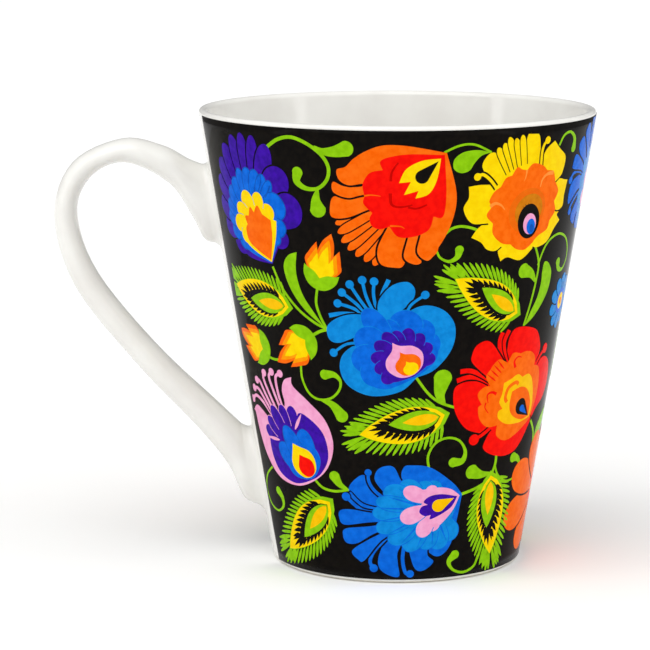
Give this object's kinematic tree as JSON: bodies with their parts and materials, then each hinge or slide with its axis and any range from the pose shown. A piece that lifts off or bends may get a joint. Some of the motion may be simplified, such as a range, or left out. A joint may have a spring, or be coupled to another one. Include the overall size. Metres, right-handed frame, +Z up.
{
  "type": "mug",
  "caption": "Tall tapered ceramic mug with an ear-shaped handle, rounded white lip and foot, and a glossy black wrap-round transfer of bright folk flowers.",
  "frame": {"origin": "centre of the foot ring, on the plane that the mug stands on", "axes": "+Z up along the cup's axis, -X towards the handle, so that the XZ plane is the plane of symmetry"},
  "size_m": [0.1235, 0.0904, 0.104],
  "materials": {
    "white_glaze": "glossy transparent glaze over a warm white body",
    "printed_enamel": "glossy black overglaze print with bright flowers"
  },
  "bodies": {
    "root": {"cup_body": "white_glaze", "handle": "white_glaze", "upper_slip_joint": "white_glaze", "lower_slip_joint": "white_glaze", "wrap_transfer": "printed_enamel"}
  },
  "joints": []
}
